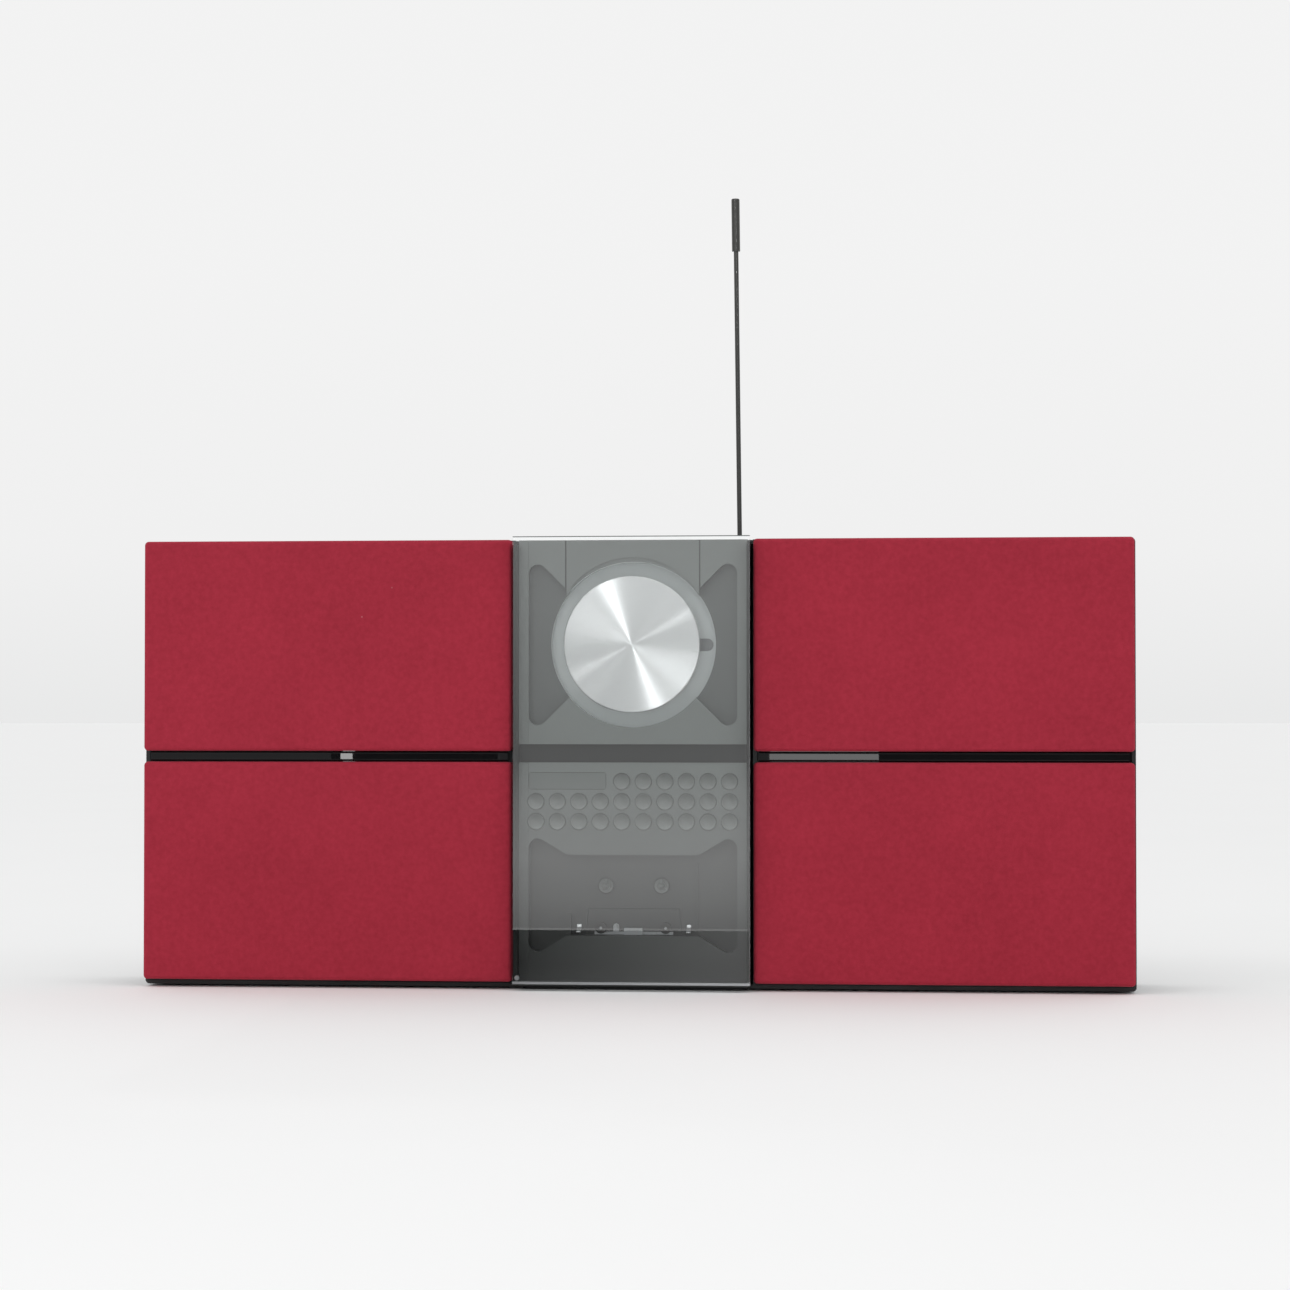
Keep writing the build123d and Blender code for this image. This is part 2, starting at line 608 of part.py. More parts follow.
with BuildPart() as display_window:
    with BuildSketch(facing(FACE_FRONT + 1.5)):
        with Locations(((WINDOW_LEFT + WINDOW_RIGHT) / 2, (WINDOW_BOTTOM + WINDOW_TOP) / 2)):
            RectangleRounded(WINDOW_RIGHT - WINDOW_LEFT - 0.2, WINDOW_TOP - WINDOW_BOTTOM - 0.2, 1.9)
    extrude(amount=1.5)
save(display_window, "display_window")

with BuildPart() as main_board:
    with BuildSketch(facing(BOARD_FRONT + 1.6)):
        block(-BOARD_HALF, BOARD_HALF, BOARD_BOTTOM, BOARD_TOP)
    extrude(amount=1.6)
    # display module behind the window
    with BuildSketch(facing(BOARD_FRONT)):
        block(WINDOW_LEFT + 1, WINDOW_RIGHT - 1, WINDOW_BOTTOM + 1, WINDOW_TOP - 1)
    extrude(amount=BOARD_FRONT - FACE_FRONT - 1.6)
save(main_board, "main_board")


def make_key(x, z):
    """One round dished key with the flange that holds it in and the stem that presses its switch."""
    with BuildPart() as key:
        with BuildSketch(facing(FACE_BACK + 0.1)):
            with Locations((x, z)):
                Circle(KEY_R)
        extrude(amount=FACE_BACK + 0.1 - KEY_FRONT)
        fillet(key.faces().sort_by(Axis.Y)[0].edges(), 0.35)
        with BuildSketch(facing(FACE_BACK + 1.1)):
            with Locations((x, z)):
                Circle(KEY_R + 1.0)
        extrude(amount=1.0)
        with BuildSketch(facing(BOARD_FRONT - 1.1)):
            with Locations((x, z)):
                Circle(2.0)
        extrude(amount=BOARD_FRONT - 1.1 - FACE_BACK - 1.1)
        with Locations((x, KEY_FRONT - KEY_DISH_R + KEY_DISH_DEEP, z)):
            Sphere(KEY_DISH_R, mode=Mode.SUBTRACT)
    return key


for name, x, z in key_places():
    save(make_key(x, z), name)

# ================================================================ CD mechanism
with BuildPart() as cd_mechanism:
    # chassis plate, rail brackets, two rails and the spindle motor
    with BuildSketch(facing(-7.0)):
        block(-36, 78, CD_Z - 24, CD_Z + 24)
    extrude(amount=2.0)
    for left, right in ((-36, -32), (74, 78)):
        with BuildSketch(facing(-9.0)):
            block(left, right, CD_Z - 20, CD_Z + 20)
        extrude(amount=17.0)
    for z in (CD_Z - 15, CD_Z + 15):
        rail_end = Plane(origin=(-33, -17, z), x_dir=(0, 1, 0), z_dir=(1, 0, 0))
        with BuildSketch(rail_end):
            Circle(1.5)
        extrude(amount=108)
    with BuildSketch(facing(-9.0)):
        with Locations((0, CD_Z)):
            Circle(10.5)
    extrude(amount=15.0)
    with BuildSketch(facing(-14.0)):
        with Locations((0, CD_Z)):
            Circle(1.5 + RUNNING_GAP)
    extrude(amount=10.0, mode=Mode.SUBTRACT)
save(cd_mechanism, "cd_mechanism")

with BuildPart() as laser_pickup:
    # sled that rides on the two rails, with its lens up in the well's slot
    with BuildSketch(facing(-12.0)):
        block(PICKUP_X - 12, PICKUP_X + 12, CD_Z - 19, CD_Z + 19)
    extrude(amount=11.0)
    with BuildSketch(facing(-23.0)):
        with Locations((PICKUP_X, CD_Z)):
            Circle(4.2)
    extrude(amount=5.4)
    for z in (CD_Z - 15, CD_Z + 15):
        rail_end = Plane(origin=(PICKUP_X - 12, -17, z), x_dir=(0, 1, 0), z_dir=(1, 0, 0))
        with BuildSketch(rail_end):
            Circle(1.5 + RUNNING_GAP)
        extrude(amount=24, mode=Mode.SUBTRACT)
save(laser_pickup, "laser_pickup")

turn_plane = Plane(origin=(0, 0, CD_Z), x_dir=(1, 0, 0), z_dir=(0, 0, 1))
turn_axis = Axis((0, 0, CD_Z), (0, 1, 0))

with BuildPart() as cd_hub:
    # platter, centring cone and motor shaft, turned about the CD's axis
    with BuildSketch(turn_plane):
        with BuildLine():
            Polyline(
                (0, PLATTER_FRONT - 4.0),
                (5.6, PLATTER_FRONT - 4.0),
                (7.4, PLATTER_FRONT - 1.2),
                (7.4, PLATTER_FRONT),
                (16.0, PLATTER_FRONT),
                (16.0, PLATTER_FRONT + 3.0),
                (4.0, PLATTER_FRONT + 3.0),
                (4.0, WELL_FLOOR + 2.6),
                (1.5, WELL_FLOOR + 2.6),
                (1.5, -15.0),
                (0, -15.0),
                close=True,
            )
        make_face()
    revolve(axis=turn_axis)
save(cd_hub, "cd_hub")

with BuildPart() as cd_clamp:
    # spun aluminium disc with a turned-back rim and a foot that presses on the CD
    with BuildSketch(turn_plane):
        with BuildLine():
            Polyline(
                (0, CLAMP_FRONT),
                (CLAMP_R - 0.6, CLAMP_FRONT),
                (CLAMP_R, CLAMP_FRONT + 0.6),
                (CLAMP_R, CLAMP_FRONT + 4.0),
                (CLAMP_R - 1.2, CLAMP_FRONT + 4.0),
                (CLAMP_R - 1.2, CLAMP_FRONT + 1.5),
                (15.0, CLAMP_FRONT + 1.5),
                (15.0, PLATTER_FRONT - 1.3),
                (9.0, PLATTER_FRONT - 1.3),
                (9.0, PLATTER_FRONT - 4.0),
                (0, PLATTER_FRONT - 4.0),
                close=True,
            )
        make_face()
    revolve(axis=turn_axis)
save(cd_clamp, "cd_clamp")

# ================================================================ cassette mechanism
with BuildPart() as tape_deck:
    # chassis plate with the head plate that fills the bay's trapezoid opening
    with BuildSketch(facing(-24.6)):
        block(-70, 70, 30, 115)
    extrude(amount=2.2)
    with BuildSketch(facing(-26.8)):
        Polygon(
            (-HEAD_TOP_HALF + 0.4, HEAD_TOP - 0.4),
            (HEAD_TOP_HALF - 0.4, HEAD_TOP - 0.4),
            (HEAD_BOTTOM_HALF - 0.4, HEAD_BOTTOM + 0.4),
            (-HEAD_BOTTOM_HALF + 0.4, HEAD_BOTTOM + 0.4),
            align=None,
        )
    extrude(amount=2.2)
    # spindle bushes, capstan flywheels and the motor behind
    with BuildSketch(facing(-16.0)):
        with Locations((-SPINDLE_X, SPINDLE_Z), (SPINDLE_X, SPINDLE_Z)):
            Circle(6.0)
    extrude(amount=8.6)
    with BuildSketch(facing(-10.0)):
        with Locations((-ROLLER_X, ROLLER_Z), (ROLLER_X, ROLLER_Z)):
            Circle(17.0)
        with Locations((52, 92)):
            Circle(15.0)
    extrude(amount=14.6)
    with BuildSketch(facing(-16.0)):
        with Locations((-SPINDLE_X, SPINDLE_Z), (SPINDLE_X, SPINDLE_Z)):
            Circle(SHAFT_R + RUNNING_GAP)
    extrude(amount=12.0, mode=Mode.SUBTRACT)
save(tape_deck, "tape_deck")


def make_spindle(x):
    """One reel spindle: shaft, flange and a three-finned hub with a pointed nose."""
    with BuildPart() as spindle:
        middle = Plane(origin=(x, 0, SPINDLE_Z), x_dir=(1, 0, 0), z_dir=(0, 0, 1))
        with BuildSketch(middle):
            with BuildLine():
                Polyline(
                    (0, -38.6),
                    (0.8, -38.6),
                    (3.0, -35.6),
                    (3.0, -31.4),
                    (SPINDLE_FLANGE_R - 1.0, -31.4),
                    (SPINDLE_FLANGE_R, -30.6),
                    (SPINDLE_FLANGE_R, -29.4),
                    (SHAFT_R, -29.4),
                    (SHAFT_R, -17.0),
                    (0, -17.0),
                    close=True,
                )
            make_face()
        revolve(axis=Axis((x, 0, SPINDLE_Z), (0, 1, 0)))
        with BuildSketch(facing(-31.0)):
            with Locations((x, SPINDLE_Z)):
                with PolarLocations(2.6, 3, start_angle=90):
                    Rectangle(4.0, 1.3)
        extrude(amount=5.4)
    return spindle


for name, x in (("supply_spindle", -SPINDLE_X), ("takeup_spindle", SPINDLE_X)):
    save(make_spindle(x), name)

with BuildPart() as head_carriage:
    # sliding bar with the tape head, a tape guide and the two roller pins
    with BuildSketch(facing(-29.3)):
        block(-30, 30, BAR_BOTTOM, BAR_BOTTOM + 2.2)
    extrude(amount=1.7)
    with BuildSketch(facing(-31.0)):
        block(-7, 7, BAR_BOTTOM, BAR_BOTTOM + 5.2)
    extrude(amount=4.6)
    with BuildSketch(facing(-29.3)):
        block(TAPE_GUIDE_X - 2.2, TAPE_GUIDE_X + 2.2, BAR_BOTTOM + 0.2, TAPE_GUIDE_Z)
        with Locations((TAPE_GUIDE_X, TAPE_GUIDE_Z)):
            Circle(2.2)
        for side in (-1, 1):
            block(side * ROLLER_X - 2, side * ROLLER_X + 2, BAR_BOTTOM + 0.2, ROLLER_Z)
            with Locations((side * ROLLER_X, ROLLER_Z)):
                Circle(2.0)
    extrude(amount=1.7)
    with BuildSketch(facing(-31.0)):
        with Locations((TAPE_GUIDE_X, TAPE_GUIDE_Z)):
            Circle(1.6)
    extrude(amount=5.0)
    with BuildSketch(facing(-31.0)):
        with Locations((-ROLLER_X, ROLLER_Z), (ROLLER_X, ROLLER_Z)):
            Circle(ROLLER_PIN_R)
    extrude(amount=5.6)
save(head_carriage, "head_carriage")

for name, x in (("left_pinch_roller", -ROLLER_X), ("right_pinch_roller", ROLLER_X)):
    with BuildPart() as pinch_roller:
        with BuildSketch(facing(-31.3)):
            with Locations((x, ROLLER_Z)):
                Circle(ROLLER_R)
                Circle(ROLLER_PIN_R + 0.06, mode=Mode.SUBTRACT)
        extrude(amount=4.7)
    save(pinch_roller, name)

with BuildPart() as cassette_springs:
    # two bent leaf springs that hold the cassette against its guides
    for x in (-41.8, 42.0):
        side_view = Plane(origin=(x - 1.6, 0, 0), x_dir=(0, 1, 0), z_dir=(1, 0, 0))
        with BuildSketch(side_view):
            with BuildLine() as spring_line:
                Polyline((-29.3, 49.0), (-30.4, 47.0), (-34.6, 43.0), (-36.6, 44.0))
            trace(line_width=0.5)
        extrude(amount=3.2)
save(cassette_springs, "cassette_springs")

# ================================================================ power
with BuildPart() as transformer:
    with BuildSketch(Plane.XY.offset(CHAMBER_FLOOR)):
        with Locations((-40, 26)):
            Rectangle(64, 44)
    extrude(amount=50)
    with BuildSketch(Plane.XY.offset(CHAMBER_FLOOR + 8)):
        with Locations((-40, 26)):
            Rectangle(46, 52)
    extrude(amount=34)
save(transformer, "transformer")

with BuildPart() as power_inlet:
    with BuildSketch(facing(CABINET_BACK)):
        with Locations((50, 26)):
            Rectangle(24, 16)
    extrude(amount=22)
    with BuildSketch(facing(CABINET_BACK)):
        with Locations((50, 26)):
            SlotOverall(17.2, 8.8)
    extrude(amount=12, mode=Mode.SUBTRACT)
    with BuildSketch(facing(CABINET_BACK - 2)):
        with Locations((45.7, 26), (54.3, 26)):
            Circle(1.2)
    extrude(amount=11)
save(power_inlet, "power_inlet")

# ================================================================ aerial
with BuildPart() as aerial_rod:
    with BuildSketch(aerial_plane(-AERIAL_TAIL)):
        Circle(AERIAL_R)
    extrude(amount=AERIAL_TAIL + AERIAL_REACH - TIP_LENGTH + 5)
save(aerial_rod, "aerial_rod")

with BuildPart() as aerial_tip:
    with BuildSketch(aerial_plane(AERIAL_REACH - TIP_LENGTH)):
        Circle(TIP_R)
    extrude(amount=TIP_LENGTH)
    chamfer(aerial_tip.edges().sort_by(Axis.Z)[-1], 0.5)
    with BuildSketch(aerial_plane(AERIAL_REACH - TIP_LENGTH)):
        Circle(AERIAL_R)
    extrude(amount=5, mode=Mode.SUBTRACT)
save(aerial_tip, "aerial_tip")
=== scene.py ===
import json
import math

import bmesh
import bpy
from mathutils import Matrix, Vector, noise


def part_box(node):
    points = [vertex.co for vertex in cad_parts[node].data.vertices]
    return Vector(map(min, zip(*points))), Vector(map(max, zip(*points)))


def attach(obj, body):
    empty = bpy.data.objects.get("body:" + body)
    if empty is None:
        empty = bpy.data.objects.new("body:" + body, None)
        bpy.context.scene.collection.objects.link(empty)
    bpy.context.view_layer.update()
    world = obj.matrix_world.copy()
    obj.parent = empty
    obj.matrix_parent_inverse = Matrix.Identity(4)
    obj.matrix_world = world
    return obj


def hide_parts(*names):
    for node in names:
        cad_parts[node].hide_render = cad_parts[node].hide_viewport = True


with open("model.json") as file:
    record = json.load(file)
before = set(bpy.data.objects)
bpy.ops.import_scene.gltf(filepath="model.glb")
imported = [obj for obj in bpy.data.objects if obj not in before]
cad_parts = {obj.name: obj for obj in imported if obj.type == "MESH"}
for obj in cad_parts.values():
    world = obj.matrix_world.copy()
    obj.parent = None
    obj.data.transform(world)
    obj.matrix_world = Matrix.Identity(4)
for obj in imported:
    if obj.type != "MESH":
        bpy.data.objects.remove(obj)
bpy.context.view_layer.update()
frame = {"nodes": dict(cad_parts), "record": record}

# The looks of a slim cloth-and-glass music system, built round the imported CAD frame.
# Metres.  X runs to the right, the glass faces -Y, +Z is up, and it stands on z = 0.

scene = bpy.context.scene
scene.view_settings.view_transform = "Standard"
scene.view_settings.look = "None"

MM = 0.001
GLASS_LO, GLASS_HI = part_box("glass_panel")
CLAMP_LO, CLAMP_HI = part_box("cd_clamp")
CD_CENTRE = (CLAMP_LO + CLAMP_HI) / 2
CD_CENTRE.y = CLAMP_LO.y


# ---------------------------------------------------------------- camera
CAMERA_DISTANCE = 2.4
CAMERA_AZIMUTH = math.radians(5.51)
CAMERA_HEIGHT = 0.2109
CAMERA_LENS = 88.45
AIM = Vector((0.0099, -0.045, 0.2616))


def add_camera():
    """The camera a little to the right of the glass, at about the height of the slots."""
    data = bpy.data.cameras.new("camera")
    data.lens = CAMERA_LENS
    data.sensor_width = 36.0
    data.clip_end = 60.0
    camera = bpy.data.objects.new("camera", data)
    back = Vector((math.sin(CAMERA_AZIMUTH), -math.cos(CAMERA_AZIMUTH), 0.0))
    camera.location = AIM + CAMERA_DISTANCE * back
    camera.location.z = CAMERA_HEIGHT
    camera.rotation_euler = (AIM - camera.location).to_track_quat("-Z", "Y").to_euler()
    scene.collection.objects.link(camera)
    scene.camera = camera


add_camera()


# ---------------------------------------------------------------- material helpers
class Graph:
    """A small helper for building one procedural material."""

    def __init__(self, name):
        self.material = bpy.data.materials.new(name)
        self.material.use_nodes = True
        self.tree = self.material.node_tree
        self.nodes = self.tree.nodes
        self.shader = self.nodes["Principled BSDF"]
        self.output = self.nodes["Material Output"]

    def add(self, kind, inputs=None, **settings):
        node = self.nodes.new(kind)
        for key, value in settings.items():
            setattr(node, key, value)
        for key, value in (inputs or {}).items():
            self.feed(node.inputs[key], value)
        return node

    def feed(self, socket, value):
        if isinstance(value, bpy.types.NodeSocket):
            self.tree.links.new(value, socket)
        elif isinstance(value, bpy.types.Node):
            self.tree.links.new(value.outputs[0], socket)
        else:
            socket.default_value = value

    def math(self, operation, a, b=0.0, c=0.0, clamp=False):
        node = self.add("ShaderNodeMath", operation=operation, use_clamp=clamp)
        for socket, value in zip(node.inputs, (a, b, c)):
            self.feed(socket, value)
        return node.outputs[0]

    def position(self):
        """Object coordinates in metres, as three sockets and a vector."""
        place = self.add("ShaderNodeTexCoord").outputs["Object"]
        parts = self.add("ShaderNodeSeparateXYZ", {"Vector": place})
        return parts.outputs[0], parts.outputs[1], parts.outputs[2], place

    def noise(self, scale, detail=3.0, roughness=0.5, vector=None):
        node = self.add("ShaderNodeTexNoise", {"Scale": scale, "Detail": detail, "Roughness": roughness})
        node.normalize = True
        self.feed(node.inputs["Vector"], vector if vector is not None else self.position()[3])
        return node.outputs["Fac"]

    def mix(self, factor, a, b, blend="MIX"):
        node = self.add("ShaderNodeMix", data_type="RGBA", blend_type=blend)
        self.feed(node.inputs[0], factor)
        self.feed(node.inputs[6], a)
        self.feed(node.inputs[7], b)
        return node.outputs[2]

    def ramp(self, factor, low, high, from_min=0.0, from_max=1.0):
        node = self.add("ShaderNodeMapRange", clamp=True)
        for socket, value in zip(node.inputs[:5], (factor, from_min, from_max, low, high)):
            self.feed(socket, value)
        return node.outputs[0]

    def bump(self, height, strength=0.5, distance=0.0002, normal=None):
        node = self.add("ShaderNodeBump", {"Strength": strength, "Distance": distance, "Height": height})
        if normal is not None:
            self.feed(node.inputs["Normal"], normal)
        self.feed(self.shader.inputs["Normal"], node.outputs[0])
        return node.outputs[0]

    def set(self, **values):
        for key, value in values.items():
            self.feed(self.shader.inputs[key.replace("_", " ")], value)


def srgb(red, green, blue):
    """A colour given in display values from 0 to 255, as the linear colour that shaders take."""

    def linear(channel):
        c = channel / 255.0
        return c / 12.92 if c <= 0.04045 else ((c + 0.055) / 1.055) ** 2.4

    return (linear(red), linear(green), linear(blue), 1.0)


def moulded(name, colour, roughness=0.45, grain=0.5, grain_size=0.0006, variation=0.06, coat=0.0, ior=1.45):
    """Moulded plastic: a fine spark-eroded grain, a little colour and gloss variation."""
    g = Graph(name)
    cloud = g.noise(9.0, 4.0, 0.55)
    dark = tuple(c * (1.0 - variation) for c in colour[:3]) + (1.0,)
    light = tuple(min(1.0, c * (1.0 + variation)) for c in colour[:3]) + (1.0,)
    g.set(Base_Color=g.mix(cloud, dark, light))
    g.set(Roughness=g.ramp(g.noise(38.0, 3.0), roughness - 0.05, roughness + 0.05, 0.3, 0.7))
    g.bump(g.noise(1.0 / grain_size, 2.0, 0.6), strength=grain, distance=0.00004)
    g.shader.inputs["IOR"].default_value = ior
    g.shader.inputs["Coat Weight"].default_value = coat
    g.shader.inputs["Coat Roughness"].default_value = 0.12
    return g.material


# ---------------------------------------------------------------- materials
def speaker_cloth():
    """Burgundy plain-woven speaker cloth, with soft mottling and a few specks of lint."""
    g = Graph("speaker_cloth_weave")
    x, y, z, place = g.position()
    thread = 2.0 * math.pi / 0.00062
    side = g.math("ADD", x, y)
    warp = g.math("SINE", g.math("MULTIPLY", side, thread))
    weft = g.math("SINE", g.math("MULTIPLY", z, thread))
    weave = g.math("MULTIPLY", warp, weft)
    slub = g.noise(260.0, 3.0, 0.6)
    cloud = g.noise(14.0, 5.0, 0.55)
    base = g.mix(g.ramp(cloud, 0.0, 1.0, 0.3, 0.7), srgb(163, 34, 54), srgb(178, 41, 62))
    fibre = g.mix(g.ramp(slub, 0.0, 1.0, 0.25, 0.75), srgb(152, 30, 49), srgb(189, 49, 71))
    colour = g.mix(0.45, base, fibre)
    colour = g.mix(g.ramp(weave, 0.0, 0.28, 0.2, -0.9), colour, srgb(108, 20, 34))
    lint = g.add("ShaderNodeTexVoronoi", {"Vector": place, "Scale": 16.0, "Randomness": 1.0})
    speck = g.ramp(lint.outputs["Distance"], 1.0, 0.0, 0.008, 0.016)
    rare = g.ramp(g.noise(5.0, 2.0), 0.0, 0.55, 0.56, 0.64)
    g.set(Base_Color=g.mix(g.math("MULTIPLY", speck, rare), colour, srgb(214, 150, 160)))
    g.set(Roughness=0.93)
    g.shader.inputs["Sheen Weight"].default_value = 0.22
    g.shader.inputs["Sheen Roughness"].default_value = 0.45
    g.shader.inputs["Sheen Tint"].default_value = srgb(222, 138, 150)
    g.shader.inputs["IOR"].default_value = 1.35
    height = g.math("ADD", g.math("MULTIPLY", weave, 0.7), g.math("MULTIPLY", slub, 1.1))
    g.bump(height, strength=0.55, distance=0.00022)
    return g.material


GLASS_TINT = (0.935, 0.945, 0.943, 1.0)
GLASS_IOR = 2.2


def smoked_glass():
    """Lightly smoked glass: it mirrors part of the room in front and passes the rest, tinted."""
    g = Graph("smoked_glass_pane")
    g.nodes.remove(g.shader)
    clear = g.add("ShaderNodeBsdfTransparent", {"Color": GLASS_TINT})
    mirror = g.add("ShaderNodeBsdfGlossy", {"Color": (1.0, 1.0, 1.0, 1.0), "Roughness": 0.0})
    share = g.add("ShaderNodeFresnel", {"IOR": GLASS_IOR})
    outside = g.math("SUBTRACT", 1.0, g.add("ShaderNodeNewGeometry").outputs["Backfacing"])
    front = g.math("MULTIPLY", share.outputs[0], outside)
    g.feed(g.output.inputs["Surface"], g.add("ShaderNodeMixShader", {0: front, 1: clear, 2: mirror}))
    return g.material


def edge_glass(name, colour, roughness):
    """A ground edge of the glass with a painted tone: the near-white one is a painted highlight along the top
    bevel, the near-black one a painted shade line.
    """
    g = Graph(name)
    cloud = g.noise(90.0, 3.0)
    darker = tuple(c * 0.93 for c in colour[:3]) + (1.0,)
    g.set(Base_Color=g.mix(cloud, darker, colour), Roughness=g.ramp(cloud, roughness * 0.8, roughness * 1.2))
    g.bump(g.noise(2500.0, 2.0), strength=0.15, distance=0.00003)
    return g.material


def satin_metal(name, colour, roughness=0.3, along="z", streak=0.25):
    """Brushed or satin metal with fine lines along one axis."""
    g = Graph(name)
    x, y, z, place = g.position()
    stretch = {"x": (1.0, 60.0, 60.0), "z": (60.0, 60.0, 1.0)}[along]
    mapped = g.add("ShaderNodeMapping", {"Vector": place, "Scale": stretch})
    lines = g.noise(60.0, 3.0, 0.6, vector=mapped.outputs[0])
    darker = tuple(c * 0.82 for c in colour[:3]) + (1.0,)
    g.set(Base_Color=g.mix(lines, darker, colour), Metallic=1.0)
    g.set(Roughness=g.ramp(lines, roughness - 0.08, roughness + 0.08, 0.3, 0.7))
    g.bump(lines, strength=streak, distance=0.00003)
    return g.material


RUNNER_FOOT_Z = 7.6 * MM


def carrier_metal():
    """The glass's carrier: a satin aluminium sill under runners painted near black, a painted shade for the
    shadowed gaps beside the glass.
    """
    g = Graph("glass_carrier_satin")
    x, y, z, place = g.position()
    mapped = g.add("ShaderNodeMapping", {"Vector": place, "Scale": (1.0, 60.0, 60.0)})
    lines = g.noise(60.0, 3.0, 0.6, vector=mapped.outputs[0])
    bright = g.mix(lines, srgb(176, 178, 180), srgb(204, 206, 208))
    runner_painted_dark = g.math("GREATER_THAN", z, RUNNER_FOOT_Z)
    # Painted shade: the runners above RUNNER_FOOT_Z are painted near black and not metallic.
    g.set(Base_Color=g.mix(runner_painted_dark, bright, srgb(30, 31, 31)))
    g.set(Metallic=g.math("SUBTRACT", 1.0, runner_painted_dark), Roughness=g.ramp(lines, 0.26, 0.4, 0.3, 0.7))
    g.bump(lines, strength=0.25, distance=0.00003)
    return g.material


DISC_ROUGHNESS = 0.27


def spun_aluminium():
    """The CD clamp: aluminium turned on a lathe, so its highlights fan out from the centre."""
    g = Graph("spun_aluminium_disc")
    x, y, z, place = g.position()
    dx = g.math("SUBTRACT", x, CD_CENTRE.x)
    dz = g.math("SUBTRACT", z, CD_CENTRE.z)
    radius = g.math("SQRT", g.math("ADD", g.math("MULTIPLY", dx, dx), g.math("MULTIPLY", dz, dz)))
    rings = g.add("ShaderNodeTexNoise", {"Scale": 3200.0, "Detail": 2.0, "W": radius}, noise_dimensions="1D")
    fine = rings.outputs["Fac"]
    g.set(Base_Color=g.mix(fine, (0.86, 0.865, 0.875, 1.0), (0.95, 0.952, 0.96, 1.0)))
    g.set(Metallic=1.0)
    g.set(Roughness=DISC_ROUGHNESS)
    g.shader.inputs["Anisotropic"].default_value = 1.0
    g.shader.inputs["Anisotropic Rotation"].default_value = 0.25
    tangent = g.add("ShaderNodeTangent", direction_type="RADIAL", axis="Y")
    g.feed(g.shader.inputs["Tangent"], tangent)
    return g.material


WELL_SHADE_RADIUS = 62.9 * MM
WELL_Y = -39.0 * MM
BAND_LOW_Z, BAND_HIGH_Z = 172.5 * MM, 186.3 * MM
BAND_Y = -36.2 * MM
LOBE_Y = -37.0 * MM
BAY_TOP_Z = 115.0 * MM
COVER_LO, COVER_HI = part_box("cd_cover_plate")
COVER_X = (COVER_LO.x + COVER_HI.x) / 2
COVER_HALF = (COVER_HI.x - COVER_LO.x) / 2
SEAM_SHADE = 0.45 * MM
FADE_LOW_Z, FADE_HIGH_Z = 20.0 * MM, 165.0 * MM


def console_grey():
    """Satin grey moulding behind the glass, with painted light and shade: the well is painted paler (partly
    its own tone, partly painted light), the hollows are painted darker and the band nearly black as painted
    shade, and the grey is darkened towards the bottom as painted shade.
    """
    g = Graph("console_satin_grey")
    x, y, z, place = g.position()
    dx = g.math("SUBTRACT", x, CD_CENTRE.x)
    dz = g.math("SUBTRACT", z, CD_CENTRE.z)
    radius = g.math("SQRT", g.math("ADD", g.math("MULTIPLY", dx, dx), g.math("MULTIPLY", dz, dz)))
    deep = g.math("GREATER_THAN", y, WELL_Y)
    well_tone_and_painted_light = g.math("MULTIPLY", g.math("LESS_THAN", radius, WELL_SHADE_RADIUS), deep)
    lobe_painted_shade = g.math("MULTIPLY", g.math("GREATER_THAN", y, LOBE_Y), g.math("GREATER_THAN", z, BAND_HIGH_Z))
    bay_painted_shade = g.math("MULTIPLY", g.math("GREATER_THAN", y, LOBE_Y), g.math("LESS_THAN", z, BAY_TOP_Z))
    above = g.math("GREATER_THAN", z, BAND_LOW_Z)
    band_painted_shade = g.math("MULTIPLY", above, g.math("LESS_THAN", z, BAND_HIGH_Z))
    band_painted_shade = g.math("MULTIPLY", band_painted_shade, g.math("GREATER_THAN", y, BAND_Y))
    cloud = g.noise(9.0, 4.0)
    plain = g.mix(cloud, srgb(122, 127, 125), srgb(129, 134, 132))
    # Painted shade: the finger hollows and the cassette bay are painted a darker grey.
    colour = g.mix(lobe_painted_shade, plain, srgb(100, 104, 103))
    colour = g.mix(bay_painted_shade, colour, srgb(96, 99, 97))
    # The well is painted pale: partly its own paler tone, partly painted light standing in for light that
    # does not reach into it.
    colour = g.mix(well_tone_and_painted_light, colour, srgb(216, 221, 221))
    off_seam = g.math("SUBTRACT", g.math("ABSOLUTE", g.math("SUBTRACT", x, COVER_X)), COVER_HALF)
    seam = g.math("LESS_THAN", g.math("ABSOLUTE", off_seam), SEAM_SHADE)
    seam = g.math("MULTIPLY", seam, g.math("GREATER_THAN", z, COVER_LO.z))
    seam = g.math("MULTIPLY", seam, g.math("LESS_THAN", y, LOBE_Y))
    colour = g.mix(seam, colour, srgb(40, 42, 41))
    # Painted shade: the recessed band between the upper and lower sections is painted nearly black.
    colour = g.mix(band_painted_shade, colour, srgb(22, 23, 23))
    # Painted shade: the grey is darkened towards the bottom, from FADE_HIGH_Z down to FADE_LOW_Z.
    painted_bottom_shade = g.ramp(z, 0.10, 1.0, FADE_LOW_Z, FADE_HIGH_Z)
    g.set(Base_Color=g.mix(painted_bottom_shade, (0.008, 0.008, 0.008, 1.0), colour))
    g.set(Roughness=g.ramp(g.noise(38.0, 3.0), 0.36, 0.46, 0.3, 0.7))
    g.bump(g.noise(1600.0, 2.0, 0.6), strength=0.35, distance=0.00004)
    return g.material


KEY_RIM = 0.45


